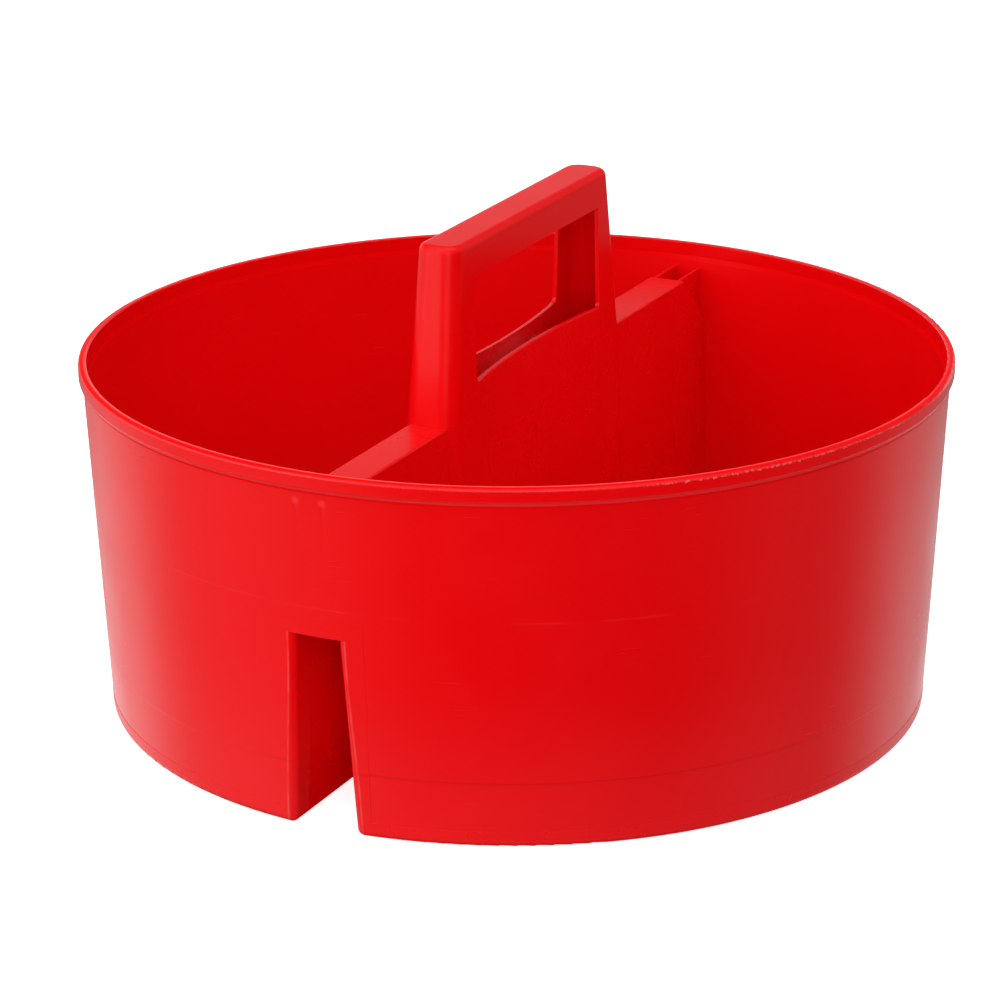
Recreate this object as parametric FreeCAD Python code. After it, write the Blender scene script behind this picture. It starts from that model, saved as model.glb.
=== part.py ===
import FreeCAD, Part
import math
import os

# Round cleaning caddy: an open tapered tub, parted by a hollow wall that carries a hollow handle.
# The real object is one plastic moulding. It is built here as one shell, and then cut into its
# named regions, which meet face to face.
# Millimetres. +Z is up, Z = 0 is the underside, and the Z axis runs through the middle of the tub.
# The divider runs along Y, so the front notch is at -Y, and each compartment is on an X side.

# Tub
RIM_RADIUS = 180.0
RIM_HEIGHT = 149.1
WALL_TOP_RADIUS = 178.8
WALL_DRAFT = math.tan(math.radians(3.02))
WALL = 2.3
FLOOR = 2.5
FLOOR_ROUND = 2.0
BASE_ROUND = 3.0

# Lip around the rim: a small overhang outside, matched by a small step inside
LIP_BOTTOM = 142.8
LIP_UNDERSIDE_RISE = 1.2
LIP_UNDERSIDE_ROUND = 2.0
LIP_LOWER_ROUND = 0.7
LIP_TOP_WIDTH = 3.5
LIP_TOP_FALL = 0.4
LIP_OUTER_ROUND = 1.1
LIP_INNER_ROUND = 0.6
LIP_STEP_TOP = 143.0
LIP_STEP_BOTTOM = 140.8
LIP_STEP_ROUND = 1.0

# Divider: its two lower ends, then the wider middle that the handle grows from
DIVIDER_WALL = 1.8
TOP_HEIGHT = 137.8
END_TOP_HALF_WIDTH = 8.3
END_DRAFT = math.tan(math.radians(2.8))
MIDDLE_TOP_HALF_WIDTH = 11.4
STEP_FADE_HEIGHT = 5.0
MIDDLE_HALF_LENGTH = 80.8
MIDDLE_FLOOR_HALF_LENGTH = 82.6
NOSE_ROUND = 7.3
RAMP_START = 153.5
RAMP_SLOPE = math.radians(45)
EDGE_ROUND = 0.8
NOTCH_HEIGHT = 82.2

# Fins that tie each ramp to the wall
FIN_OFFSET = 5.7
FIN_THICKNESS = 1.4
FIN_DEPTH = 60.0
FIN_SLANT = 28.0
FIN_OVERLAP = 3.0

# Handle
HANDLE_HEIGHT = 209.5
HANDLE_TOP_HALF_LENGTH = 72.2
HANDLE_TOP_ROUND = 3.0
WINDOW_BOTTOM = 151.6
WINDOW_TOP = 194.8
WINDOW_BOTTOM_HALF_LENGTH = 57.9
WINDOW_TOP_HALF_LENGTH = 58.6
WINDOW_BOTTOM_ROUND = 1.8
WINDOW_TOP_ROUND = 0.8

# Finger scoop in each side below the window: a shallow, leaning, large-radius hollow
SCOOP_RADIUS = 400.0
SCOOP_BOTTOM = 101.0

# Where the regions are cut apart
LIP_SPLIT = LIP_STEP_BOTTOM
LIP_INNER_LIMIT = 140.0
EDGE_BAND = 7.0
NOTCH_FRAME_HALF_WIDTH = 20.0
NOTCH_FRAME_START = 160.0
NOTCH_FRAME_HEIGHT = NOTCH_HEIGHT + 6.5
FLOOR_SPLIT = 19.0
PANEL_HALF_LENGTH = 83.5
SILL_BOTTOM = 97.0
POST_OVERHANG = 4.0

# Plain sizes for tools that only have to reach past the caddy
CLEAR = 240.0
HALF_ACROSS = 40.0
MARGIN = 1.0
TINY = 0.01


def vector(x, y, z):
    return FreeCAD.Vector(x, y, z)


def wall_radius(z):
    """Radius of the outer wall at a height."""
    return WALL_TOP_RADIUS - (RIM_HEIGHT - z) * WALL_DRAFT


def end_half_width(z):
    """Half the outer width of the divider's ends at a height."""
    return END_TOP_HALF_WIDTH + (TOP_HEIGHT - z) * END_DRAFT


def middle_half_width(z):
    """Half the outer width of the divider's middle, and of the handle, at a height.

    The step between the middle and the ends fades out just above the floor.
    """
    growth = end_half_width(STEP_FADE_HEIGHT) - MIDDLE_TOP_HALF_WIDTH
    return MIDDLE_TOP_HALF_WIDTH + growth * (TOP_HEIGHT - z) / (TOP_HEIGHT - STEP_FADE_HEIGHT)


def ramp_height(y):
    """Top of a ramp, at a distance y from the middle."""
    return TOP_HEIGHT - (abs(y) - RAMP_START) * math.tan(RAMP_SLOPE)


def rounded_outline(corners, place):
    """Closed wire through (u, v, round) corners. place turns (u, v) into a point in space."""
    count = len(corners)
    turns = []
    for i in range(count):
        here = vector(corners[i][0], corners[i][1], 0)
        back = vector(corners[i - 1][0], corners[i - 1][1], 0) - here
        ahead = vector(corners[(i + 1) % count][0], corners[(i + 1) % count][1], 0) - here
        back.normalize()
        ahead.normalize()
        half = back.getAngle(ahead) / 2
        reach = corners[i][2] / math.tan(half)
        middle = back + ahead
        if corners[i][2] > 0:
            middle.normalize()
        turn = here + middle * (corners[i][2] / math.sin(half) - corners[i][2])
        turns.append((here + back * reach, turn, here + ahead * reach))
    edges = []
    for i in range(count):
        start, turn, end = [place(p.x, p.y) for p in turns[i]]
        last = place(turns[i - 1][2].x, turns[i - 1][2].y)
        if last.distanceToPoint(start) > 1e-6:
            edges.append(Part.makeLine(last, start))
        if corners[i][2] > 0:
            edges.append(Part.Arc(start, turn, end).toShape())
    return Part.Wire(edges)


def slab(corners, place, travel):
    """Solid made by moving a rounded outline along travel."""
    return Part.Face(rounded_outline(corners, place)).extrude(travel)


def side_slab(corners):
    """Solid reaching across the divider, from an outline in (y, z)."""
    return slab(corners, lambda u, v: vector(-HALF_ACROSS, u, v), vector(2 * HALF_ACROSS, 0, 0))


def turned(corners):
    """Solid turned about the Z axis from an outline in (radius, z). Its seam is at the rear."""
    face = Part.Face(rounded_outline(corners, lambda u, v: vector(0, u, v)))
    return face.revolve(vector(0, 0, 0), vector(0, 0, 1), 360)


def box(low, high):
    """Solid box between two corners."""
    low, high = vector(*low), vector(*high)
    size = high - low
    return Part.makeBox(size.x, size.y, size.z, low)


def zone(xs, ys, zs):
    """Box from three (low, high) stretches."""
    return box((xs[0], ys[0], zs[0]), (xs[1], ys[1], zs[1]))


def rounded_block(levels):
    """Solid through rounded rectangles, one for each (z, half width, half length, round)."""
    wires = []
    for z, half_x, half_y, corner in levels:
        corners = [(half_x, -half_y, corner), (half_x, half_y, corner)]
        corners += [(-half_x, half_y, corner), (-half_x, -half_y, corner)]
        wires.append(rounded_outline(corners, lambda u, v, z=z: vector(u, v, z)))
    return Part.makeLoft(wires, True, True)


def cone(inset, low, high):
    """Solid filling the outer wall, less an inset, between two heights."""
    corners = [(0, low, 0), (wall_radius(low) - inset, low, 0)]
    corners += [(wall_radius(high) - inset, high, 0), (0, high, 0)]
    return turned(corners)


def tall_cone(inset):
    """The same, reaching past the caddy below and above."""
    return cone(inset, -10 * MARGIN, HANDLE_HEIGHT + 10 * MARGIN)


def make_tub():
    """Cup with its floor and its lip, as one turned solid."""
    lip_inner = RIM_RADIUS - LIP_TOP_WIDTH
    under_low = LIP_BOTTOM - LIP_UNDERSIDE_RISE / 2
    under_high = LIP_BOTTOM + LIP_UNDERSIDE_RISE / 2
    return turned([
        (0, 0, 0),
        (wall_radius(0), 0, 0),
        (wall_radius(under_low), under_low, LIP_UNDERSIDE_ROUND),
        (RIM_RADIUS, under_high, LIP_LOWER_ROUND),
        (RIM_RADIUS, RIM_HEIGHT - LIP_TOP_FALL, LIP_OUTER_ROUND),
        (lip_inner, RIM_HEIGHT, LIP_INNER_ROUND),
        (lip_inner, LIP_STEP_TOP, LIP_STEP_ROUND),
        (wall_radius(LIP_STEP_BOTTOM) - WALL, LIP_STEP_BOTTOM, LIP_STEP_ROUND),
        (wall_radius(FLOOR) - WALL, FLOOR, FLOOR_ROUND),
        (0, FLOOR, 0),
    ])


def ramp_block(drop, top, bottom):
    """The divider's ends seen from the side, lowered by a thickness, as a solid across its width."""
    flat_end = RAMP_START - drop * math.tan(RAMP_SLOPE / 2)
    tip = ramp_height(CLEAR) - drop / math.cos(RAMP_SLOPE)
    corners = [(-CLEAR, bottom, 0), (CLEAR, bottom, 0), (CLEAR, tip, 0)]
    corners += [(flat_end, top, 0), (-flat_end, top, 0), (-CLEAR, tip, 0)]
    return side_slab(corners)


def end_prism(inset, top, bottom):
    """Tapered bar along Y with the width of the divider's ends, less an inset on each side."""
    low, high = end_half_width(bottom) - inset, end_half_width(top) - inset
    corners = [(-low, bottom, 0), (low, bottom, 0), (high, top, 0), (-high, top, 0)]
    return slab(corners, lambda u, v: vector(u, -CLEAR, v), vector(0, 2 * CLEAR, 0))


def make_divider_ends():
    """Outside of the divider's lower ends, with eased upper edges."""
    bar = end_prism(0, TOP_HEIGHT, 0).common(ramp_block(0, TOP_HEIGHT, 0))
    upper = []
    for edge in bar.Edges:
        middle = edge.CenterOfMass
        across = abs(edge.Vertexes[0].X - edge.Vertexes[1].X)
        on_top = middle.z > TOP_HEIGHT - TINY
        on_ramp = abs(middle.y) > RAMP_START and abs(middle.z - ramp_height(middle.y)) < TINY
        if (on_top or on_ramp) and across < END_TOP_HALF_WIDTH:
            upper.append(edge)
    return bar.makeFillet(EDGE_ROUND, upper)


def middle_levels(inset, top):
    """Levels of the divider's middle and the handle, less an inset all round."""
    low = -MARGIN if inset else 0.0
    per_height = (MIDDLE_HALF_LENGTH - HANDLE_TOP_HALF_LENGTH) / (HANDLE_HEIGHT - TOP_HEIGHT)
    top_length = MIDDLE_HALF_LENGTH - (top - TOP_HEIGHT) * per_height
    rows = [(low, MIDDLE_FLOOR_HALF_LENGTH), (TOP_HEIGHT, MIDDLE_HALF_LENGTH), (top, top_length)]
    levels = []
    for z, half_length in rows:
        half_width = middle_half_width(z) - inset
        levels.append((z, half_width, half_length - inset, NOSE_ROUND - inset))
    return levels


def make_middle():
    """Outside of the divider's middle and the handle, with a rounded top edge."""
    block = rounded_block(middle_levels(0, HANDLE_HEIGHT))
    top_edges = [e for e in block.Edges if e.BoundBox.ZMin > HANDLE_HEIGHT - TINY]
    return block.makeFillet(HANDLE_TOP_ROUND, top_edges)


def scoop_sag():
    """How deep the scoop is at the sill, where it spans the window."""
    half = WINDOW_BOTTOM_HALF_LENGTH
    return SCOOP_RADIUS - math.sqrt(SCOOP_RADIUS**2 - half**2)


def scoop(side, depth):
    """Leaning cylinder that forms the finger scoop on one side, sunk further in by a depth."""
    sill_half_width = middle_half_width(WINDOW_BOTTOM) - scoop_sag()
    rise = WINDOW_BOTTOM - SCOOP_BOTTOM
    lean = math.atan((middle_half_width(SCOOP_BOTTOM) - sill_half_width) / rise)
    outward = vector(side * math.cos(lean), 0, math.sin(lean))
    down = vector(side * math.sin(lean), 0, -math.cos(lean))
    sill = vector(side * sill_half_width, 0, WINDOW_BOTTOM)
    start = sill + outward * SCOOP_RADIUS - down * 2 * rise
    cylinder = Part.makeCylinder(SCOOP_RADIUS + depth, 4 * rise, start, down)
    lengthways = (-WINDOW_BOTTOM_HALF_LENGTH, WINDOW_BOTTOM_HALF_LENGTH)
    below_sill = zone((-HALF_ACROSS, HALF_ACROSS), lengthways, (SILL_BOTTOM, WINDOW_BOTTOM))
    return cylinder.common(below_sill)


def make_fins():
    """Two thin upright fins at each end, from the ramp to the wall, level with the flat top."""
    start = RAMP_START - FIN_OVERLAP
    foot = TOP_HEIGHT - FIN_DEPTH
    corners = [(start, TOP_HEIGHT, 0), (CLEAR, TOP_HEIGHT, 0), (CLEAR, foot, 0)]
    corners += [(RAMP_START + FIN_SLANT, foot, 0), (start, TOP_HEIGHT - FIN_OVERLAP, 0)]
    fins = []
    for end in (-1, 1):
        for side in (-1, 1):
            low = side * FIN_OFFSET - FIN_THICKNESS / 2
            place = lambda u, v, end=end, low=low: vector(low, end * u, v)
            fins.append(slab(corners, place, vector(FIN_THICKNESS, 0, 0)))
    return fins


def make_window():
    """Opening through the handle, a little wider at its top."""
    return side_slab([
        (-WINDOW_BOTTOM_HALF_LENGTH, WINDOW_BOTTOM, WINDOW_BOTTOM_ROUND),
        (WINDOW_BOTTOM_HALF_LENGTH, WINDOW_BOTTOM, WINDOW_BOTTOM_ROUND),
        (WINDOW_TOP_HALF_LENGTH, WINDOW_TOP, WINDOW_TOP_ROUND),
        (-WINDOW_TOP_HALF_LENGTH, WINDOW_TOP, WINDOW_TOP_ROUND),
    ])


def make_hollow():
    """Space under the divider and the handle, open at the bottom and out through both notches."""
    roof = TOP_HEIGHT - DIVIDER_WALL
    ends = end_prism(DIVIDER_WALL, roof, -MARGIN)
    ends = ends.common(ramp_block(DIVIDER_WALL, roof, -MARGIN))
    inside_wall = ends.common(tall_cone(WALL))
    notches = ends.common(zone((-HALF_ACROSS, HALF_ACROSS), (-CLEAR, CLEAR), (-MARGIN, NOTCH_HEIGHT)))
    middle = rounded_block(middle_levels(DIVIDER_WALL, HANDLE_HEIGHT - DIVIDER_WALL))
    for side in (-1, 1):
        middle = middle.cut(scoop(side, DIVIDER_WALL))
    return inside_wall.fuse([notches, middle]).removeSplitter()


def base_waste():
    """Slivers to take off to round the bottom edges and the upright edges of the notches."""
    block = cone(0, 0, NOTCH_HEIGHT).cut(end_prism(DIVIDER_WALL, NOTCH_HEIGHT + MARGIN, -MARGIN))
    edges = []
    for edge in block.Edges:
        lowest = min(vertex.Z for vertex in edge.Vertexes)
        highest = max(vertex.Z for vertex in edge.Vertexes)
        on_top = lowest > NOTCH_HEIGHT - TINY
        if not on_top:
            edges.append(edge)
    return block.cut(block.makeFillet(BASE_ROUND, edges))


def make_moulding():
    """The whole caddy as one shell."""
    solid = make_divider_ends().fuse([make_middle()] + make_fins())
    solid = solid.common(tall_cone(WALL / 2))
    for side in (-1, 1):
        solid = solid.cut(scoop(side, 0))
    shell = make_tub().fuse(solid).cut(make_hollow()).cut(make_window()).cut(base_waste())
    return shell.removeSplitter()


EVERYWHERE = (-CLEAR, CLEAR)
UPRIGHT = (-MARGIN, HANDLE_HEIGHT + MARGIN)
NEAR_MIDDLE = (-NOTCH_FRAME_HALF_WIDTH, NOTCH_FRAME_HALF_WIDTH)
ENDS = (("front", -1), ("rear", 1))
SIDES = (("right", 1), ("left", -1))


def beyond(sign, near, far):
    """The two ends of a stretch on one side of the middle, lowest first."""
    return sorted((sign * near, sign * far))


def ring(inner_radius, bottom, top):
    """Everything outside a radius, between two heights."""
    disc = Part.makeCylinder(CLEAR, top - bottom, vector(0, 0, bottom))
    return disc.cut(Part.makeCylinder(inner_radius, top - bottom, vector(0, 0, bottom)))


def tub_regions():
    """Lip, notch frames, bottom edge, wall and floor."""
    rows = [("rim_lip", ring(LIP_INNER_LIMIT, LIP_SPLIT, RIM_HEIGHT + MARGIN))]
    for end, sign in ENDS:
        lengthways = beyond(sign, NOTCH_FRAME_START, CLEAR)
        rows.append(("notch_frame_" + end, zone(NEAR_MIDDLE, lengthways, (-MARGIN, NOTCH_FRAME_HEIGHT))))
    for side, sign in SIDES:
        band = ring(wall_radius(0) - EDGE_BAND, -MARGIN, EDGE_BAND)
        rows.append(("base_edge_" + side, band.common(zone(beyond(sign, 0, CLEAR), EVERYWHERE, UPRIGHT))))
    everything = Part.makeCylinder(CLEAR, HANDLE_HEIGHT, vector(0, 0, -MARGIN))
    rows.append(("tub_wall", everything.cut(tall_cone(WALL))))
    for side, sign in SIDES:
        sideways = beyond(sign, FLOOR_SPLIT, CLEAR)
        rows.append(("floor_" + side, zone(sideways, EVERYWHERE, (-MARGIN, EDGE_BAND))))
    return rows


def handle_regions():
    """Top bar, then the two posts. Each post keeps the rounded corners of the window."""
    rows = [("handle_bar", zone(NEAR_MIDDLE, EVERYWHERE, (WINDOW_TOP, HANDLE_HEIGHT + MARGIN)))]
    for end, sign in ENDS:
        below_sill = beyond(sign, WINDOW_BOTTOM_HALF_LENGTH, RAMP_START)
        above_sill = beyond(sign, WINDOW_BOTTOM_HALF_LENGTH - POST_OVERHANG, RAMP_START)
        post = zone(NEAR_MIDDLE, below_sill, (TOP_HEIGHT, WINDOW_BOTTOM))
        post = post.fuse(zone(NEAR_MIDDLE, above_sill, (WINDOW_BOTTOM, WINDOW_TOP)))
        rows.append(("handle_post_" + end, post))
    return rows


def end_regions(end, sign):
    """At one end: the two fins, the ramp and the flat top."""
    ramp_tops = ramp_block(0, TOP_HEIGHT, -MARGIN)
    ramp_undersides = ramp_block(DIVIDER_WALL, TOP_HEIGHT - DIVIDER_WALL, -MARGIN)
    lengthways = beyond(sign, RAMP_START, CLEAR)
    rows = []
    for side, side_sign in SIDES:
        half = zone(beyond(side_sign, 0, CLEAR), lengthways, UPRIGHT)
        rows.append(("fin_" + end + "_" + side, half.cut(ramp_tops)))
    rows.append(("divider_ramp_" + end, zone(NEAR_MIDDLE, lengthways, UPRIGHT).cut(ramp_undersides)))
    flat_lengthways = beyond(sign, WINDOW_BOTTOM_HALF_LENGTH, RAMP_START)
    flat = zone(NEAR_MIDDLE, flat_lengthways, (TOP_HEIGHT - DIVIDER_WALL, TOP_HEIGHT + MARGIN))
    middle = rounded_block(middle_levels(0, HANDLE_HEIGHT))
    rows.append(("divider_top_" + end, flat.cut(middle)))
    return rows


def side_regions(side, side_sign):
    """On one side: the scooped sill, the panel below it and the two lower ends of the divider."""
    sideways = beyond(side_sign, 0, FLOOR_SPLIT)
    window_length = (-WINDOW_BOTTOM_HALF_LENGTH, WINDOW_BOTTOM_HALF_LENGTH)
    panel_length = (-PANEL_HALF_LENGTH, PANEL_HALF_LENGTH)
    rows = [("sill_" + side, zone(sideways, window_length, (SILL_BOTTOM, WINDOW_TOP)))]
    rows.append(("divider_panel_" + side, zone(sideways, panel_length, UPRIGHT)))
    for end, sign in ENDS:
        lengthways = beyond(sign, PANEL_HALF_LENGTH, CLEAR)
        rows.append(("divider_end_" + end + "_" + side, zone(sideways, lengthways, UPRIGHT)))
    return rows


def regions():
    """Every region's name with the space that it takes from what is left of the shell, in order."""
    rows = tub_regions() + handle_regions()
    for end, sign in ENDS:
        rows += end_regions(end, sign)
    for side, side_sign in SIDES:
        rows += side_regions(side, side_sign)
    return rows


def make_parts():
    """Node name to solid, for every region of the moulding."""
    rest = make_moulding()
    rows = regions()
    parts = {}
    for name, region in rows[:-1]:
        parts[name] = rest.common(region)
        rest = rest.cut(region)
    parts[rows[-1][0]] = rest
    return parts


if __name__ == "__main__":
    os.makedirs("parts", exist_ok=True)
    for name, shape in make_parts().items():
        shape.exportStep("parts/" + name + ".step")
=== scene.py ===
import math

import bmesh
import bpy
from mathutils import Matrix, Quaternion, Vector


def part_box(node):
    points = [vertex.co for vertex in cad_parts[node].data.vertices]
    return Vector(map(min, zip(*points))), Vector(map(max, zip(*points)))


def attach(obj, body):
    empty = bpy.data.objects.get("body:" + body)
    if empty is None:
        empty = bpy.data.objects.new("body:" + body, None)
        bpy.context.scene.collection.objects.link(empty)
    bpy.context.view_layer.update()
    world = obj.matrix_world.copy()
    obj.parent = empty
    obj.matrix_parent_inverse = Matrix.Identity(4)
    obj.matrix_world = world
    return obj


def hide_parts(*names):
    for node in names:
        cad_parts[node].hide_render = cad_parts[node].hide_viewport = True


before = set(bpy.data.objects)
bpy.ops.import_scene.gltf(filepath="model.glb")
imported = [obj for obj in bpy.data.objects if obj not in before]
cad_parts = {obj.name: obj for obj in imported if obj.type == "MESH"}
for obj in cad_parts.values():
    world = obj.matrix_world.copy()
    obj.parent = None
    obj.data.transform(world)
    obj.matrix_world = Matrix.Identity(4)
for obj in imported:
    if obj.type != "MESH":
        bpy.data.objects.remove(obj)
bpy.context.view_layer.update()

# Round cleaning caddy, moulded in glossy red plastic. Metres, in the frame of the CAD model: +Z is up,
# Z = 0 is the underside, the divider runs along Y and the front notch is at -Y.
# Most CAD nodes are shown as they are, with a procedural material each. The outer wall and the two
# scooped sills are replaced by finer meshes, which carry marks that the CAD model leaves out.

MM = 0.001

# Camera, at the viewing angle to match
CAMERA_PLACE = Vector((0.6712, -1.3725, 0.6164))
CAMERA_AIM = Vector((-0.0065, -0.0029, 0.0817))
CAMERA_ROLL = -0.0064
LENS_MM = 139.37
SENSOR_MM = 36.0

# Outer wall, from the CAD node's own box. The wall narrows evenly towards its foot.
WALL_LOW, WALL_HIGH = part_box("tub_wall")
WALL_SLOPE = math.tan(math.radians(3.02))
WALL_THICKNESS = 2.3 * MM
NOTCH_LOW, NOTCH_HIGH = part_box("notch_frame_front")
NOTCH_HALF_WIDTH = NOTCH_HIGH.x
SKIN = 0.02 * MM

# Grid of the outer wall: columns across a notch and along a side, and the rows' spacing
NEAR_COLUMNS = 110
FLANK_COLUMNS = 166
PLAIN_ROW = 4 * MM
MARKED_ROW = 0.6 * MM
WITNESS_ROW = 0.15 * MM
SHARP_ANGLE = math.radians(40)

# Small moulding marks on the outer wall
WITNESS_HEIGHT = 27.0 * MM
WITNESS_DEPTH = 0.05 * MM
WITNESS_RISE = 0.5 * MM
SINK_OFFSET = 5.7 * MM
SINK_TOP = 137.2 * MM
SINK_BOTTOM = 118.0 * MM
SINK_HALF_WIDTH = 1.6 * MM
SINK_DEPTH = 0.16 * MM
SINK_TOP_EASE = 1.5 * MM
SINK_FOOT_EASE = 4 * MM
SINK_DEEP_START = 6 * MM
SINK_DEEP_FULL = 1 * MM
SINK_SHALLOW_SHARE = 0.25

# Scooped sills
SILL_LOW, SILL_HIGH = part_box("sill_right")
SILL_TOP_HALF_WIDTH = 11.05 * MM
SCOOP_DEPTH = 4.2 * MM
SCOOP_PEAK = SILL_HIGH.z + (SILL_HIGH.z - SILL_LOW.z) * 0.55
SCOOP_END = (0.86, 1.06)
SCOOP_END_FADE = 0.9
SHEET = 1.8 * MM
SILL_EDGE_ROUND = 0.5 * MM
SILL_COLUMN = 1.0 * MM
SILL_ROW = 1.2 * MM
SILL_EDGE_STEP = math.pi / 10


# ---------------------------------------------------------------- meshes

def new_object(name, data):
    """Object in the scene that holds a mesh, a lamp or a camera."""
    piece = bpy.data.objects.new(name, data)
    bpy.context.scene.collection.objects.link(piece)
    return piece


def finished(name, mesh_data):
    """Smooth-shaded piece from mesh data, with its sharp edges kept."""
    mesh = bpy.data.meshes.new(name)
    mesh_data.to_mesh(mesh)
    mesh_data.free()
    mesh.shade_smooth()
    mesh.set_sharp_from_angle(angle=SHARP_ANGLE)
    return new_object(name, mesh)


def smooth_step(value, start, end):
    """0 at start, 1 at end, eased in between."""
    t = max(0.0, min(1.0, (value - start) / (end - start)))
    return t * t * (3 - 2 * t)


def wall_radius(z):
    """Radius of the outer wall's face at a height, just inside the CAD face."""
    return WALL_HIGH.x - SKIN - (WALL_HIGH.z - z) * WALL_SLOPE


def sink_dent(x, z):
    """Depth of the sink marks that the fins leave on the wall in front of and behind them."""
    across = math.exp(-((abs(x) - SINK_OFFSET) / (SINK_HALF_WIDTH / 2)) ** 2)
    top = 1 - smooth_step(z, SINK_TOP - SINK_TOP_EASE, SINK_TOP + SINK_TOP_EASE)
    deep = smooth_step(z, SINK_TOP - SINK_DEEP_START, SINK_TOP - SINK_DEEP_FULL)
    share = SINK_SHALLOW_SHARE + (1 - SINK_SHALLOW_SHARE) * deep
    foot = smooth_step(z, SINK_BOTTOM - SINK_FOOT_EASE, SINK_BOTTOM + SINK_FOOT_EASE)
    return SINK_DEPTH * across * top * share * foot


def witness_dent(z):
    """The wall's face steps in by a hair below the witness line."""
    return WITNESS_DEPTH * (1 - smooth_step(z, WITNESS_HEIGHT - WITNESS_RISE, WITNESS_HEIGHT))


def divided(start, end, count):
    """Points from start to end, both included, with count even steps between them."""
    return [start + (end - start) * i / count for i in range(count + 1)]


def spaced(start, end, step):
    """Points from start to end, both included, with even steps of about the size asked for."""
    return divided(start, end, max(1, round((end - start) / step)))


def joined(*runs):
    """Runs of numbers laid end to end, without repeating the shared ends."""
    row = list(runs[0])
    for run in runs[1:]:
        row += run[1:]
    return row


def wall_angles(z):
    """Angles round the wall, from the front. The columns beside each notch follow its frame's sides."""
    edge = math.asin(NOTCH_HALF_WIDTH / wall_radius(z))
    near = divided(-edge, edge, NEAR_COLUMNS)
    flank = divided(edge, math.pi - edge, FLANK_COLUMNS)
    far = [a + math.pi for a in near]
    back = [a + math.pi for a in flank]
    return joined(near, flank, far, back)[:-1]


def wall_rows():
    """Heights of the wall's rows, closer where there are marks."""
    below_line = WITNESS_HEIGHT - 2 * WITNESS_RISE
    above_line = WITNESS_HEIGHT + WITNESS_RISE
    sink_foot = SINK_BOTTOM - SINK_FOOT_EASE
    return joined(
        spaced(WALL_LOW.z, below_line, PLAIN_ROW),
        spaced(below_line, above_line, WITNESS_ROW),
        spaced(above_line, NOTCH_HIGH.z, PLAIN_ROW),
        spaced(NOTCH_HIGH.z, sink_foot, PLAIN_ROW),
        spaced(sink_foot, WALL_HIGH.z, MARKED_ROW),
    )


def wall_ring(mesh_data, z):
    """One level of the wall: its outer and its inner corners."""
    base = wall_radius(z)
    level = Vector((0, 0, z))
    outer, inner = [], []
    for angle in wall_angles(z):
        direction = Vector((math.sin(angle), -math.cos(angle), 0))
        dent = witness_dent(z) + sink_dent(base * direction.x, z)
        outer.append(mesh_data.verts.new(direction * (base - dent) + level))
        inner.append(mesh_data.verts.new(direction * (base - WALL_THICKNESS) + level))
    return outer, inner


def open_cells(outer, top):
    """Which cells of a row a notch frame fills, from the row's lower corners and its top."""
    low_enough = top < NOTCH_HIGH.z + SKIN
    across = [low_enough and abs(corner.co.x) < NOTCH_HALF_WIDTH + SKIN for corner in outer]
    return [across[k] and across[(k + 1) % len(across)] for k in range(len(across))]


def make_wall():
    """Outer wall: a ring with an opening for each notch frame, closed on every side."""
    mesh_data = bmesh.new()
    add_face = mesh_data.faces.new
    rows = wall_rows()
    rings = [wall_ring(mesh_data, z) for z in rows]
    openings = [open_cells(ring[0], top) for ring, top in zip(rings, rows[1:])]
    for i, is_open in enumerate(openings):
        outer, inner = rings[i]
        outer_up, inner_up = rings[i + 1]
        for k in range(len(outer)):
            if is_open[k]:
                continue
            n = (k + 1) % len(outer)
            add_face((outer[k], outer[n], outer_up[n], outer_up[k]))
            add_face((inner[n], inner[k], inner_up[k], inner_up[n]))
            if i == 0 or openings[i - 1][k]:
                add_face((inner[k], inner[n], outer[n], outer[k]))
            if i == len(openings) - 1:
                add_face((outer_up[k], outer_up[n], inner_up[n], inner_up[k]))
            if is_open[n]:
                add_face((outer[n], inner[n], inner_up[n], outer_up[n]))
            if is_open[k - 1]:
                add_face((inner[k], outer[k], outer_up[k], inner_up[k]))
    loose = [v for v in mesh_data.verts if not v.link_faces]
    bmesh.ops.delete(mesh_data, geom=loose, context="VERTS")
    return finished("outer_wall", mesh_data)


def scoop_dent(y, z):
    """Depth of the finger scoop: nothing at its sides and foot, deepest in the middle of the sill."""
    reach = min(1.0, abs(y) / SILL_HIGH.y)
    along = (1 - reach**2) * (1 - smooth_step(reach, *SCOOP_END) * SCOOP_END_FADE)
    up = smooth_step(z, SILL_LOW.z, SCOOP_PEAK)
    up_at_sill = smooth_step(SILL_HIGH.z, SILL_LOW.z, SCOOP_PEAK)
    return SCOOP_DEPTH * along * up / up_at_sill


def sill_face(z):
    """Half width of the divider's flat side face at a height."""
    lean = (SILL_HIGH.x - SILL_TOP_HALF_WIDTH) / (SILL_HIGH.z - SILL_LOW.z)
    return SILL_HIGH.x - (z - SILL_LOW.z) * lean


def sill_outline(y, heights):
    """Section of a sill across the divider: up its face, over the eased edge, and down inside."""
    top = heights[-1]
    face = sill_face(top) - scoop_dent(y, top)
    outline = [(sill_face(z) - scoop_dent(y, z), z) for z in heights]
    for turn in spaced(0, math.pi / 2, SILL_EDGE_STEP)[1:]:
        across = face - SILL_EDGE_ROUND * (1 - math.cos(turn))
        outline.append((across, top + SILL_EDGE_ROUND * math.sin(turn)))
    outline.append((face - SHEET, SILL_HIGH.z))
    outline += [(sill_face(z) - scoop_dent(y, z) - SHEET, z) for z in reversed(heights)]
    return outline


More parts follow.
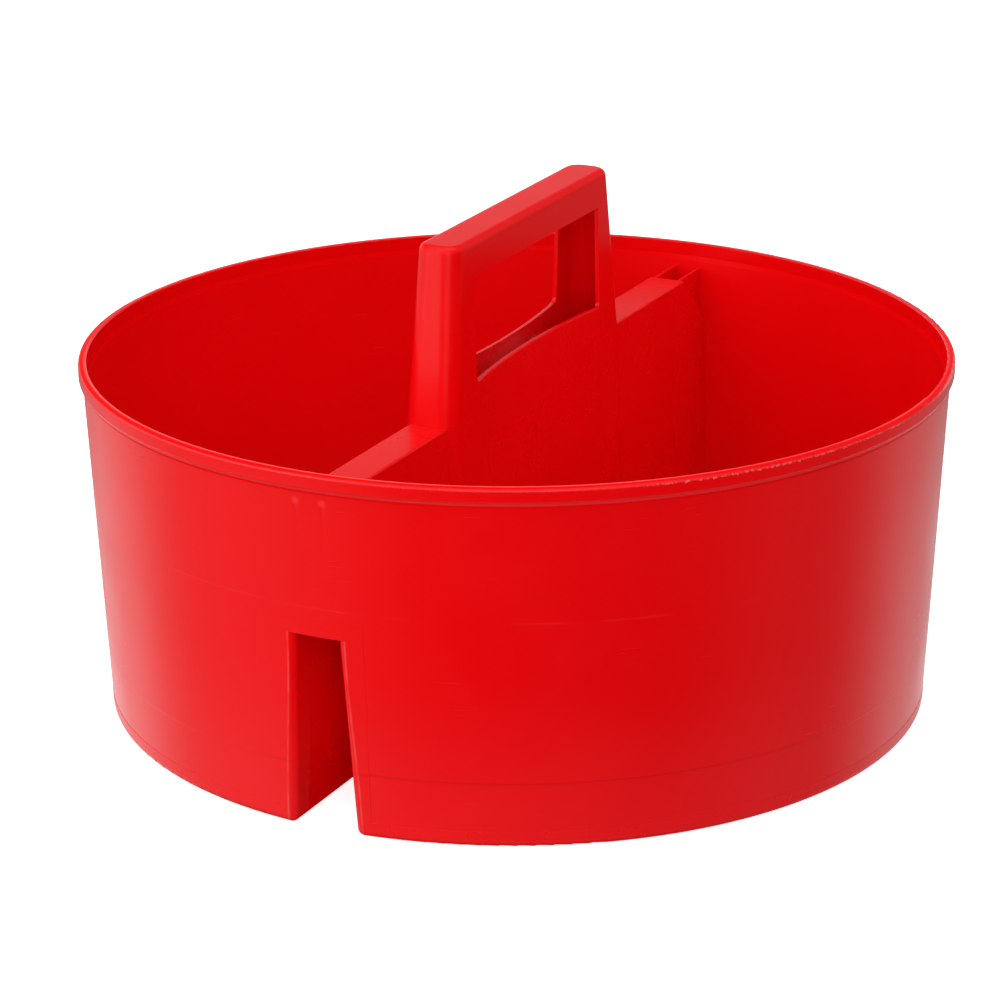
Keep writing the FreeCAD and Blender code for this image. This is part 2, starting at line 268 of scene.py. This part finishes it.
def make_sill(name, side):
    """One scooped sheet of the divider, from the panel up to the window, with an eased top edge."""
    heights = spaced(SILL_LOW.z, SILL_HIGH.z - SILL_EDGE_ROUND, SILL_ROW)
    mesh_data = bmesh.new()
    loops = []
    for y in spaced(SILL_LOW.y, SILL_HIGH.y, SILL_COLUMN):
        loops.append([mesh_data.verts.new((side * x, y, z)) for x, z in sill_outline(y, heights)])
    size = len(loops[0])
    for loop, following in zip(loops, loops[1:]):
        for k in range(size):
            n = (k + 1) % size
            mesh_data.faces.new((loop[k], following[k], following[n], loop[n]))
    rows = len(heights)
    for loop in (loops[0], loops[-1]):
        for k in range(rows - 1):
            mesh_data.faces.new((loop[k], loop[k + 1], loop[size - 2 - k], loop[size - 1 - k]))
        mesh_data.faces.new(loop[rows - 1:size - rows + 1])
    bmesh.ops.recalc_face_normals(mesh_data, faces=mesh_data.faces)
    return finished(name, mesh_data)


# ---------------------------------------------------------------- materials

class Nodes:
    """Short helpers for building one material's node tree."""

    def __init__(self, tree):
        self.tree = tree
        self.coords = self.add("ShaderNodeTexCoord").outputs["Object"]

    def add(self, kind, **settings):
        node = self.tree.nodes.new(kind)
        for key, value in settings.items():
            setattr(node, key, value)
        return node

    def put(self, socket, value):
        """Links a socket, or sets a plain value."""
        if isinstance(value, bpy.types.NodeSocket):
            self.tree.links.new(value, socket)
        else:
            socket.default_value = value

    def math(self, operation, a, b=0.0, clamp=False):
        node = self.add("ShaderNodeMath", operation=operation, use_clamp=clamp)
        self.put(node.inputs[0], a)
        self.put(node.inputs[1], b)
        return node.outputs[0]

    def span(self, value, low, high, to_low=0.0, to_high=1.0):
        """Smoothly maps low..high to to_low..to_high."""
        node = self.add("ShaderNodeMapRange", interpolation_type="SMOOTHSTEP")
        self.put(node.inputs["Value"], value)
        self.put(node.inputs["From Min"], low)
        self.put(node.inputs["From Max"], high)
        self.put(node.inputs["To Min"], to_low)
        self.put(node.inputs["To Max"], to_high)
        return node.outputs["Result"]

    def band(self, value, low, high, soft):
        """1 between low and high, fading to 0 over soft on both sides."""
        rise = self.span(value, low - soft, low)
        fall = self.span(value, high, high + soft, 1.0, 0.0)
        return self.product(rise, fall)

    def product(self, *factors):
        """Multiplies any number of values."""
        result = factors[0]
        for factor in factors[1:]:
            result = self.math("MULTIPLY", result, factor)
        return result

    def stretched(self, scale):
        """Coordinates scaled by axis."""
        node = self.add("ShaderNodeMapping")
        self.put(node.inputs["Vector"], self.coords)
        node.inputs["Scale"].default_value = scale
        return node.outputs["Vector"]

    def noise(self, scale, detail=2.0, vector=None, rough=0.5):
        """Cloudy values around 0.5, few of them below 0.3 or above 0.7."""
        node = self.add("ShaderNodeTexNoise")
        self.put(node.inputs["Vector"], self.coords if vector is None else vector)
        node.inputs["Scale"].default_value = scale
        node.inputs["Detail"].default_value = detail
        node.inputs["Roughness"].default_value = rough
        return node.outputs["Fac"]

    def mix(self, factor, a, b):
        """Mixes two colours."""
        node = self.add("ShaderNodeMix", data_type="RGBA")
        self.put(node.inputs["Factor"], factor)
        self.put(node.inputs["A"], a)
        self.put(node.inputs["B"], b)
        return node.outputs["Result"]


RED = (0.83, 0.0006, 0.0022, 1)
DEEP_RED = (0.77, 0.0004, 0.0014, 1)
# Darker red for the painted shade along the witness line
STEP_SHADE_RED = (0.62, 0.0002, 0.0008, 1)
PALE_RED = (0.86, 0.030, 0.036, 1)
# Pale scuff colour, also used for the painted highlight beside the notch
SCUFF_AND_HIGHLIGHT = (0.90, 0.36, 0.34, 1)
# Pale pink for the painted highlights on the lip
EDGE_HIGHLIGHT = (0.95, 0.080, 0.080, 1)
SPECK = (0.16, 0.002, 0.002, 1)

# The plastic itself. Scales are noise cells per metre, strengths are shares of a colour mixed in, and
# a range is the stretch of noise values over which a mark comes in.
PLASTIC_IOR = 1.49
GLOSSY = 0.5
DULL = 0.05
DRIFT_SCALE = 9
DRIFT_RANGE = (0.35, 0.65)
DRIFT_STRENGTH = 0.5
SCRATCH_PATCH_SCALE = 14
SCRATCH_PATCH_RANGE = (0.42, 0.62)
SCRATCH_RANGE = (0.62, 0.80)
SCRATCH_TONE = 0.012
SCRATCH_ROUGHNESS = 0.05
SCRATCH_DEPTH = 0.03
SPECK_SCALE = 60
SPECK_SIZE = 0.35 * MM
SPECK_SHARE = 0.04
SPECK_STRENGTH = 0.6
CLOUD_SCALE = 30
CLOUD_RANGE = (0.3, 0.7)
CLOUD_ROUGHNESS = (-0.02, 0.03)
GRAIN_SCALE = 900
GRAIN_HEIGHT = 0.015
DENT_SCALE = 55
DENT_HEIGHT = 0.6
BUMP_DISTANCE = 0.02 * MM

# Share of a line's half width that has its full strength
LINE_CORE = 0.5
EDGE_CORE = 0.4

# Wall: how far in its outer face still counts, then the marks on it, with painted floor light at the
# foot, painted shade along the witness line and painted highlights on the sinks
FACE_DEPTH = (0.3 * MM, 0.6 * MM)
# Painted light thrown up by the floor, fading out by this height
PAINTED_BOUNCE_HEIGHT = 75 * MM
PAINTED_BOUNCE = 0.28
FOOT_TURN = (1.0 * MM, 3.2 * MM)
# Painted shade along the witness line's step
WITNESS_HALF_WIDTH = 0.8 * MM
WITNESS_FADE = (-40 * MM, 10 * MM, 0.06, 0.35)
HAIR_LINE_HEIGHT = 94.0 * MM
HAIR_HALF_WIDTH = 0.5 * MM
HAIR_BREAK_SCALE = 30
HAIR_BREAK_RANGE = (0.40, 0.60)
HAIR_STRENGTH = 0.25
# Painted highlights on the sinks' tops
SINK_HIGHLIGHT_RADIUS = 2.4 * MM
SINK_HIGHLIGHT_STRENGTH = 0.9

# Lip: its painted highlight lines (radius, height, half width), its flat top and its worn outer edge
LIP_INNER_LINE = (177.2 * MM, 149.0 * MM, 0.85 * MM)
LIP_INNER_FADE = (100 * MM, 170 * MM, 0.95, 0.45)
LIP_OUTER_LINE = (179.8 * MM, 148.0 * MM, 0.5 * MM)
LIP_OUTER_STRENGTH = 0.30
LIP_UNDER_LINE = (178.7 * MM, 142.4 * MM, 1.2 * MM)
LIP_UNDER_STRENGTH = 0.35
LIP_TOP_INNER = 176.9 * MM
LIP_TOP_OUTER = 179.6 * MM
LIP_TOP_EASE = 0.3 * MM
LIP_STEP_HEIGHT = 143.0 * MM
LIP_STEP_EASE = 0.6 * MM
# The painted highlights are strongest on the side towards the camera
CAMERA_SIDE = Vector((0.44, -0.90))
CAMERA_SIDE_FADE = (-60 * MM, 60 * MM, 0.10, 1.0)
WEAR_RADIUS = 179.9 * MM
WEAR_HEIGHT = 147.7 * MM
WEAR_WIDTH = 0.9 * MM
WEAR_EASE = 0.3 * MM
WEAR_SCALE = 700
WEAR_RANGE = (0.42, 0.72)
WEAR_START = math.radians(-52)
WEAR_END = math.radians(2)
WEAR_TURN_EASE = math.radians(12)
WEAR_STRENGTH = 0.38
WEAR_ELSEWHERE = 0.03

# Painted highlight beside the notch's edges, by the notch's half widths at its foot and top
NOTCH_TOP = 82.2 * MM
NOTCH_FOOT_LINE = 16.3 * MM
NOTCH_TOP_LINE = 12.4 * MM
NOTCH_TOP_EASE = 0.5 * MM
NOTCH_GLINT_WIDTH = (0.1 * MM, 0.6 * MM)
NOTCH_GLINT_SCALE = 120
NOTCH_GLINT_RANGE = (0.35, 0.65)
NOTCH_GLINT_STRENGTH = (0.04, 0.14)

# Rubbing underneath
RUB_HEIGHT = (0.2 * MM, 1.0 * MM)
RUB_SCALE = 300
RUB_RANGE = (0.52, 0.72)
RUB_PATCH_SCALE = 24
RUB_PATCH_RANGE = (0.40, 0.66)
RUB_STRENGTH = 0.4


def distance_to(n, a, a_place, b, b_place):
    """Distance from a point in the plane of two coordinates."""
    across = n.math("SUBTRACT", a, a_place)
    along = n.math("SUBTRACT", b, b_place)
    squares = n.math("ADD", n.product(across, across), n.product(along, along))
    return n.math("SQRT", squares)


def place_of(n):
    """Separate X, Y, Z, plus the distance from the tub's axis."""
    split = n.add("ShaderNodeSeparateXYZ")
    n.put(split.inputs[0], n.coords)
    x, y, z = split.outputs
    return x, y, z, distance_to(n, x, 0.0, y, 0.0)


def specks(n):
    """Mask of sparse tiny dots."""
    cells = n.add("ShaderNodeTexVoronoi")
    n.put(cells.inputs["Vector"], n.coords)
    cells.inputs["Scale"].default_value = SPECK_SCALE
    split = n.add("ShaderNodeSeparateColor")
    n.put(split.inputs[0], cells.outputs["Color"])
    chosen = n.math("GREATER_THAN", split.outputs[0], 1 - SPECK_SHARE)
    dot = n.math("LESS_THAN", cells.outputs["Distance"], SPECK_SIZE * SPECK_SCALE)
    return n.product(chosen, dot)


def plastic(name, roughness=0.24, scratches=0.4, scratch_scale=(40, 40, 2600), marks=None, sheen=None):
    """Moulded glossy red plastic: slow tone drift, fine scratches, grain, shallow dents and specks.
    marks changes the colour by place, painted light and shade included, and sheen gives the strength of
    the gloss by place."""
    material = bpy.data.materials.new(name)
    material.use_nodes = True
    tree = material.node_tree
    shader = tree.nodes["Principled BSDF"]
    n = Nodes(tree)
    place = place_of(n)

    drift = n.span(n.noise(DRIFT_SCALE, detail=3), *DRIFT_RANGE, 0.0, DRIFT_STRENGTH)
    colour = n.mix(drift, RED, DEEP_RED)
    scratch = n.noise(1.0, vector=n.stretched(scratch_scale), rough=0.6)
    patches = n.span(n.noise(SCRATCH_PATCH_SCALE), *SCRATCH_PATCH_RANGE, 0.0, scratches)
    lines = n.product(n.span(scratch, *SCRATCH_RANGE), patches)
    colour = n.mix(n.product(lines, SCRATCH_TONE), colour, SCUFF_AND_HIGHLIGHT)
    if marks is not None:
        colour = marks(n, colour, *place)
    colour = n.mix(n.product(specks(n), SPECK_STRENGTH), colour, SPECK)
    n.put(shader.inputs["Base Color"], colour)

    cloud = n.span(n.noise(CLOUD_SCALE, detail=4), *CLOUD_RANGE, *CLOUD_ROUGHNESS)
    rough = n.math("ADD", n.math("ADD", cloud, roughness), n.product(lines, SCRATCH_ROUGHNESS))
    n.put(shader.inputs["Roughness"], rough)
    shader.inputs["IOR"].default_value = PLASTIC_IOR
    if sheen is not None:
        n.put(shader.inputs["Specular IOR Level"], sheen(n, *place))

    grain = n.product(n.noise(GRAIN_SCALE), GRAIN_HEIGHT)
    height = n.math("ADD", grain, n.product(n.noise(DENT_SCALE), DENT_HEIGHT))
    height = n.math("SUBTRACT", height, n.product(lines, SCRATCH_DEPTH))
    bump = n.add("ShaderNodeBump")
    bump.inputs["Distance"].default_value = BUMP_DISTANCE
    bump.inputs["Strength"].default_value = 1.0
    n.put(bump.inputs["Height"], height)
    n.put(shader.inputs["Normal"], bump.outputs["Normal"])
    return material


def fine_line(n, z, height, half_width):
    """Mask of a level line round the tub."""
    away = n.math("ABSOLUTE", n.math("SUBTRACT", z, height))
    return n.span(away, half_width * LINE_CORE, half_width, 1.0, 0.0)


def outside(n, z, radius):
    """Mask of the wall's outer face."""
    foot_radius = WALL_HIGH.x - WALL_HIGH.z * WALL_SLOPE
    face = n.math("ADD", n.product(z, WALL_SLOPE), foot_radius)
    depth = n.math("SUBTRACT", face, radius)
    return n.span(depth, *FACE_DEPTH, 1.0, 0.0)


def painted_foot_bounce(n, colour, x, y, z, radius):
    """Painted light thrown up by the floor: paler towards the foot, but not where it turns under."""
    pale = n.span(z, 0.0, PAINTED_BOUNCE_HEIGHT, PAINTED_BOUNCE, 0.0)
    return n.mix(n.product(pale, n.span(z, *FOOT_TURN)), colour, PALE_RED)


def foot_sheen(n, x, y, z, radius):
    """Dull where the foot turns under."""
    return n.span(z, *FOOT_TURN, DULL, GLOSSY)


def painted_witness_shade(n, colour, x, z, outer):
    """Painted shade along the step of the level line near the foot, fading out to the left."""
    witness = fine_line(n, z, WITNESS_HEIGHT, WITNESS_HALF_WIDTH)
    kept = n.span(x, *WITNESS_FADE)
    return n.mix(n.product(witness, outer, kept), colour, STEP_SHADE_RED)


def wall_marks_and_painted_light(n, colour, x, y, z, radius):
    """Painted floor light that makes the foot paler, painted shade along the witness line and a
    hairline above it, and painted highlights on the sinks' tops.
    """
    outer = outside(n, z, radius)
    colour = painted_witness_shade(n, painted_foot_bounce(n, colour, x, y, z, radius), x, z, outer)
    broken = n.span(n.noise(HAIR_BREAK_SCALE), *HAIR_BREAK_RANGE, 0.0, HAIR_STRENGTH)
    hair = fine_line(n, z, HAIR_LINE_HEIGHT, HAIR_HALF_WIDTH)
    colour = n.mix(n.product(hair, outer, broken), colour, PALE_RED)
    # Painted highlight on each sink's top
    away = distance_to(n, n.math("ABSOLUTE", x), SINK_OFFSET, z, SINK_TOP)
    sink_highlight = n.span(away, 0.0, SINK_HIGHLIGHT_RADIUS, SINK_HIGHLIGHT_STRENGTH, 0.0)
    return n.mix(n.product(sink_highlight, outer), colour, PALE_RED)


def edge_line(n, radius, z, edge_radius, edge_height, half_width):
    """Mask of a thin line round the lip."""
    away = distance_to(n, radius, edge_radius, z, edge_height)
    return n.span(away, half_width * EDGE_CORE, half_width, 1.0, 0.0)


def painted_edge_highlights(n, colour, x, y, z, radius):
    """Painted highlights: pale lines along the lip's edges and in the fillet under it, strongest on the
    side towards the camera.
    """
    near = n.math("ADD", n.product(x, CAMERA_SIDE.x), n.product(y, CAMERA_SIDE.y))
    inner = n.product(edge_line(n, radius, z, *LIP_INNER_LINE), n.span(x, *LIP_INNER_FADE))
    outer = n.product(edge_line(n, radius, z, *LIP_OUTER_LINE), LIP_OUTER_STRENGTH)
    edges = n.math("ADD", inner, outer, clamp=True)
    colour = n.mix(n.product(edges, n.span(near, *CAMERA_SIDE_FADE)), colour, EDGE_HIGHLIGHT)
    under = n.product(edge_line(n, radius, z, *LIP_UNDER_LINE), LIP_UNDER_STRENGTH)
    return n.mix(under, colour, EDGE_HIGHLIGHT)


def rim_wear_and_painted_highlights(n, colour, x, y, z, radius):
    """Painted highlights along the lip's edges, and jagged wear along the outer edge at the front
    right.
    """
    colour = painted_edge_highlights(n, colour, x, y, z, radius)
    away = distance_to(n, radius, WEAR_RADIUS, z, WEAR_HEIGHT)
    jagged = n.noise(WEAR_SCALE, detail=4, rough=0.75)
    reach = n.span(jagged, *WEAR_RANGE, 0.0, WEAR_WIDTH)
    wear = n.span(n.math("SUBTRACT", reach, away), 0.0, WEAR_EASE)
    turn = n.math("ARCTAN2", y, x)
    begun = n.span(turn, WEAR_START, WEAR_START + WEAR_TURN_EASE)
    going_on = n.span(turn, WEAR_END - WEAR_TURN_EASE, WEAR_END, 1.0, 0.0)
    amount = n.math("ADD", n.product(begun, going_on, WEAR_STRENGTH), WEAR_ELSEWHERE)
    return n.mix(n.product(wear, amount), colour, SCUFF_AND_HIGHLIGHT)


def rim_sheen(n, x, y, z, radius):
    """Duller on the lip's flat top and on the step inside it, glossy on the edges between."""
    past_inner = n.span(radius, LIP_TOP_INNER, LIP_TOP_INNER + LIP_TOP_EASE)
    short_of_outer = n.span(radius, LIP_TOP_OUTER - LIP_TOP_EASE, LIP_TOP_OUTER, 1.0, 0.0)
    inside = n.span(radius, LIP_TOP_INNER, LIP_TOP_INNER + LIP_TOP_EASE, 1.0, 0.0)
    low = n.span(z, LIP_STEP_HEIGHT, LIP_STEP_HEIGHT + LIP_STEP_EASE, 1.0, 0.0)
    dulled = n.math("MAXIMUM", n.product(past_inner, short_of_outer), n.product(inside, low))
    return n.math("SUBTRACT", GLOSSY, n.product(dulled, GLOSSY - DULL))


def notch_painted_light(n, colour, x, y, z, radius):
    """Painted floor light that makes the foot paler, painted shade along the witness line, and on the
    outer face a thin painted highlight close to the notch's edges.
    """
    outer = outside(n, z, radius)
    colour = painted_witness_shade(n, painted_foot_bounce(n, colour, x, y, z, radius), x, z, outer)
    half = n.span(z, 0.0, NOTCH_TOP, NOTCH_FOOT_LINE, NOTCH_TOP_LINE)
    away = n.math("ABSOLUTE", n.math("SUBTRACT", n.math("ABSOLUTE", x), half))
    below = n.span(z, NOTCH_TOP - NOTCH_TOP_EASE, NOTCH_TOP + NOTCH_TOP_EASE, 1.0, 0.0)
    line = n.product(n.span(away, *NOTCH_GLINT_WIDTH, 1.0, 0.0), outer, below)
    uneven = n.span(n.noise(NOTCH_GLINT_SCALE), *NOTCH_GLINT_RANGE, *NOTCH_GLINT_STRENGTH)
    return n.mix(n.product(line, uneven), colour, SCUFF_AND_HIGHLIGHT)


def underside_rubs(n, colour, x, y, z, radius):
    """Rubbed patches on the underside, from standing on hard floors."""
    under = n.span(z, *RUB_HEIGHT, 1.0, 0.0)
    flecks = n.span(n.noise(RUB_SCALE, detail=4, rough=0.65), *RUB_RANGE)
    patches = n.span(n.noise(RUB_PATCH_SCALE, detail=3), *RUB_PATCH_RANGE, 0.0, RUB_STRENGTH)
    return n.mix(n.product(under, flecks, patches), colour, SCUFF_AND_HIGHLIGHT)


def base_rubs_and_painted_light(n, colour, x, y, z, radius):
    """Painted floor light that makes the foot paler, and rubbed underneath."""
    return underside_rubs(n, painted_foot_bounce(n, colour, x, y, z, radius), x, y, z, radius)


def paint(piece, material):
    piece.data.materials.clear()
    piece.data.materials.append(material)


def paint_all():
    """Gives every CAD node its plastic, and hands back the two that the new pieces share."""
    outer = plastic("red_outer", marks=wall_marks_and_painted_light)
    frame_red = plastic("red_notch_frame", marks=notch_painted_light, sheen=foot_sheen)
    rim = plastic("red_rim", roughness=0.2, marks=rim_wear_and_painted_highlights, sheen=rim_sheen)
    inner = plastic("red_divider", roughness=0.26, scratches=0.5)
    grip = plastic("red_handle", roughness=0.22, scratches=0.3, scratch_scale=(900, 60, 60))
    flat = plastic("red_floor", roughness=0.32, scratches=0.9, scratch_scale=(60, 900, 60),
                   marks=underside_rubs)
    edge = plastic("red_base_edge", roughness=0.28, scratches=0.8, marks=base_rubs_and_painted_light, sheen=foot_sheen)
    looks = {
        "tub_wall": outer, "notch_frame": frame_red, "rim_lip": rim, "handle": grip,
        "floor": flat, "base_edge": edge,
    }
    for node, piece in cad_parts.items():
        found = [look for start, look in looks.items() if node.startswith(start)]
        paint(piece, found[0] if found else inner)
    return outer, inner


# ---------------------------------------------------------------- studio

def add_camera():
    """Long lens, tilted by a hair, aimed at the middle of the tub."""
    data = bpy.data.cameras.new("camera")
    data.lens = LENS_MM
    data.sensor_width = SENSOR_MM
    camera = new_object("camera", data)
    camera.location = CAMERA_PLACE
    camera.rotation_mode = "QUATERNION"
    aim = (CAMERA_AIM - CAMERA_PLACE).to_track_quat("-Z", "Y")
    camera.rotation_quaternion = aim @ Quaternion((0, 0, 1), CAMERA_ROLL)
    bpy.context.scene.camera = camera


# Brightness that reflections meet round the tub: two soft boxes at each side, past a dark front.
# Each step eases to its brightness between two angles, in degrees round from the camera (left is
# negative). Reflections in the outer wall look well down, those in the handle nearly level or up.
FRONT_LOW = 0.0
STEPS_LOW = ((-12, -76, 0.36), (-100, -132, 0.93), (38, 78, 0.17), (92, 130, 0.76), (145, 178, 0.93))
FRONT_HIGH = 0.02
STEPS_HIGH = ((0, -68, 0.44), (-114, -160, 0.14), (50, 160, 0.14))
LOW_TO_HIGH = (-0.40, -0.26)

# Straight below it's bright again, as is overhead, with a dark gap between the horizon and overhead.
# Each pair is the sine of the elevation where the change starts and ends.
STEEP_DOWN = (-0.58, -0.72)
STEEP_GLOW = 0.40
GAP_UP = (0.42, 0.52)
GAP_GLOW = 0.02
OVERHEAD = (0.80, 0.93)
OVERHEAD_GLOW = 0.45
BEHIND = (math.radians(125), math.radians(145))
HORIZON = (0.04, 0.14)
HORIZON_FADE = 0.08
HORIZON_GLOW = 0.85


def grey(value):
    return (value, value, value, 1)


def soft_steps(n, turn, front, steps):
    """Brightness by angle round from the camera."""
    light = grey(front)
    for start, end, value in steps:
        share = n.span(turn, math.radians(start), math.radians(end))
        light = n.mix(share, light, grey(value))
    return light


def make_world():
    """White to the camera. Otherwise dark, with broad soft boxes at both sides for the reflections."""
    world = bpy.data.worlds.new("studio")
    bpy.context.scene.world = world
    world.use_nodes = True
    world.cycles.sampling_method = "NONE"
    tree = world.node_tree
    background = tree.nodes["Background"]
    n = Nodes(tree)
    split = n.add("ShaderNodeSeparateXYZ")
    n.put(split.inputs[0], n.add("ShaderNodeTexCoord").outputs["Generated"])
    east, north, up = split.outputs
    towards = Vector((CAMERA_PLACE.x, CAMERA_PLACE.y)).normalized()
    ahead = n.math("ADD", n.product(east, towards.x), n.product(north, towards.y))
    right = n.math("ADD", n.product(east, -towards.y), n.product(north, towards.x))
    turn = n.math("ARCTAN2", right, ahead)
    low = soft_steps(n, turn, FRONT_LOW, STEPS_LOW)
    high = soft_steps(n, turn, FRONT_HIGH, STEPS_HIGH)
    light = n.mix(n.span(up, *LOW_TO_HIGH), low, high)
    light = n.mix(n.span(up, *STEEP_DOWN), light, grey(STEEP_GLOW))
    light = n.mix(n.span(up, *GAP_UP), light, grey(GAP_GLOW))
    light = n.mix(n.span(up, *OVERHEAD), light, grey(OVERHEAD_GLOW))
    behind = n.span(n.math("ABSOLUTE", turn), *BEHIND)
    level_band = n.band(up, *HORIZON, HORIZON_FADE)
    light = n.mix(n.product(behind, level_band), light, grey(HORIZON_GLOW))
    seen = n.add("ShaderNodeLightPath").outputs["Is Camera Ray"]
    light = n.mix(seen, light, grey(1.0))
    n.put(background.inputs["Color"], light)
    background.inputs["Strength"].default_value = 1.0


# Wide lights from above and below, and the lamp under the floor
SKY_SPREAD = math.radians(150)
SKY_POWER = 2.55
FLOOR_SPREAD = math.radians(80)
FLOOR_POWER = 2.1
BOUNCE_PLACE = Vector((0, 0, -0.12))
BOUNCE_SIZE = 1.2
BOUNCE_POWER = 5.2

# Floor as the camera sees it and as the light does, and the dark disc on it
FLOOR_HALF = 6.0
FLOOR_DROP = 0.3 * MM
FLOOR_ROUGHNESS = 0.9
FLOOR_SEEN = 0.93
FLOOR_THROWN = 0.10
FLOOR_GLOW = 0.8
SHADE_RADIUS = 168.2 * MM
SHADE_DROP = 0.2 * MM
SHADE_SIDES = 96
SHADE_COLOUR = (0.01, 0.0, 0.0, 1)

# Soft lamps: name, angle round from the camera and elevation in degrees, and power
LAMPS = (
    ("left", -60, 0, 6.0),
    ("high_left", -60, 50, 4.5),
    ("low_front", 0, 0, 4.8),
    ("high_front", 0, 25, 4.5),
    ("right", 100, 0, 3.1),
)
LAMP_SIZE = 0.9
LAMP_DISTANCE = 1.6
LAMP_AIM = Vector((0, 0, 0.1))


def add_disk_lamp(name, place, aim, size, power):
    """Large round lamp, which lights but isn't mirrored."""
    data = bpy.data.lights.new(name, "AREA")
    data.shape = "DISK"
    data.size = size
    data.energy = power
    lamp = new_object(name, data)
    lamp.location = place
    lamp.rotation_euler = (aim - place).to_track_quat("-Z", "Y").to_euler()
    lamp.visible_glossy = False


def add_lamps():
    """Soft lamps all round, and one under the floor for the light that a white floor throws up."""
    start = math.atan2(CAMERA_PLACE.y, CAMERA_PLACE.x)
    for name, angle, elevation, power in LAMPS:
        turn = start + math.radians(angle)
        level = math.cos(math.radians(elevation))
        height = math.sin(math.radians(elevation))
        towards = Vector((level * math.cos(turn), level * math.sin(turn), height))
        add_disk_lamp(name, LAMP_AIM + towards * LAMP_DISTANCE, LAMP_AIM, LAMP_SIZE, power)
    add_disk_lamp("bounce", BOUNCE_PLACE, LAMP_AIM, BOUNCE_SIZE, BOUNCE_POWER)


def add_wide_light(name, spread, power, turn=0.0):
    """Very wide light from overhead, or turned over to shine from below, which isn't mirrored."""
    data = bpy.data.lights.new(name, "SUN")
    data.angle = spread
    data.energy = power
    light = new_object(name, data)
    light.rotation_euler = (turn, 0, 0)
    light.visible_glossy = False


def make_floor():
    """Plain white floor. It is kept out of the reflections, and lets the light from below through."""
    mesh = bpy.data.meshes.new("studio_floor")
    corners = [(FLOOR_HALF * x, FLOOR_HALF * y, 0) for x, y in ((-1, -1), (1, -1), (1, 1), (-1, 1))]
    mesh.from_pydata(corners, [], [(0, 1, 2, 3)])
    floor = new_object("studio_floor", mesh)
    floor.location.z = -FLOOR_DROP
    floor.visible_glossy = False
    floor.visible_shadow = False
    material = bpy.data.materials.new("studio_white")
    material.use_nodes = True
    tree = material.node_tree
    shader = tree.nodes["Principled BSDF"]
    shader.inputs["Roughness"].default_value = FLOOR_ROUGHNESS
    shader.inputs["Specular IOR Level"].default_value = 0.0
    shader.inputs["Emission Color"].default_value = grey(1.0)
    n = Nodes(tree)
    seen = n.add("ShaderNodeLightPath").outputs["Is Camera Ray"]
    n.put(shader.inputs["Base Color"], n.mix(seen, grey(FLOOR_THROWN), grey(FLOOR_SEEN)))
    n.put(shader.inputs["Emission Strength"], n.product(seen, FLOOR_GLOW))
    paint(floor, material)


def make_floor_shade():
    """Dark disc on the floor under the tub, seen only in reflections, such as the channel's."""
    mesh = bpy.data.meshes.new("floor_shade")
    turns = [2 * math.pi * i / SHADE_SIDES for i in range(SHADE_SIDES)]
    corners = [(SHADE_RADIUS * math.cos(t), SHADE_RADIUS * math.sin(t), 0) for t in turns]
    mesh.from_pydata(corners, [], [tuple(range(SHADE_SIDES))])
    shade = new_object("floor_shade", mesh)
    shade.location.z = -SHADE_DROP
    shade.visible_camera = False
    shade.visible_diffuse = False
    shade.visible_shadow = False
    material = bpy.data.materials.new("floor_shade")
    material.use_nodes = True
    shader = material.node_tree.nodes["Principled BSDF"]
    shader.inputs["Base Color"].default_value = SHADE_COLOUR
    shader.inputs["Specular IOR Level"].default_value = 0.0
    paint(shade, material)


# ---------------------------------------------------------------- build

def stand_in(piece, node, material):
    """Shows a finer piece in place of a CAD node."""
    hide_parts(node)
    paint(piece, material)
    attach(piece, "root")


wall_look, divider_look = paint_all()
stand_in(make_wall(), "tub_wall", wall_look)
stand_in(make_sill("scooped_sill_right", 1), "sill_right", divider_look)
stand_in(make_sill("scooped_sill_left", -1), "sill_left", divider_look)
make_floor()
make_floor_shade()
make_world()
add_wide_light("sky", SKY_SPREAD, SKY_POWER)
add_wide_light("floor_light", FLOOR_SPREAD, FLOOR_POWER, math.pi)
add_lamps()
add_camera()
bpy.context.scene.view_settings.view_transform = "Standard"
